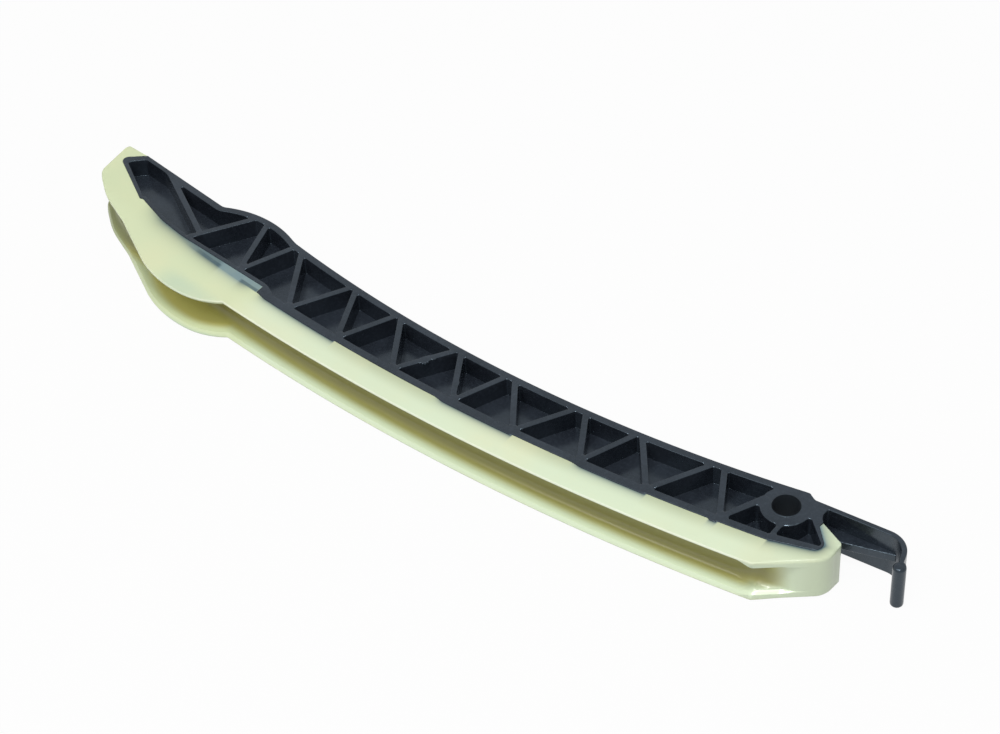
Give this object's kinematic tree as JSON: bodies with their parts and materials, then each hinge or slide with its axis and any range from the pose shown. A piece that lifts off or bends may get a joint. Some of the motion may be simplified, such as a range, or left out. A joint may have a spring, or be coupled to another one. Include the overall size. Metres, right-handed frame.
{
  "type": "timing chain guide",
  "caption": "Bowed timing chain guide: a black trussed plastic carrier with a pivot boss and hook arm, and a pale slide shoe with a flanged channel for the chain.",
  "frame": {"origin": "on the pivot bore's axis, at the side that the guide lies on", "axes": "+Z along the pivot bore; the rail runs to -X and the hook arm to +X; the chain side faces -Y and the tensioner side +Y"},
  "size_m": [0.3331, 0.0514, 0.017],
  "materials": {
    "carrier": "black glass-filled nylon, satin moulded surface",
    "slide_shoe": "cream natural nylon, slightly translucent, semi-gloss"
  },
  "bodies": {
    "root": {"carrier": "carrier", "slide_shoe": "slide_shoe"}
  },
  "joints": []
}
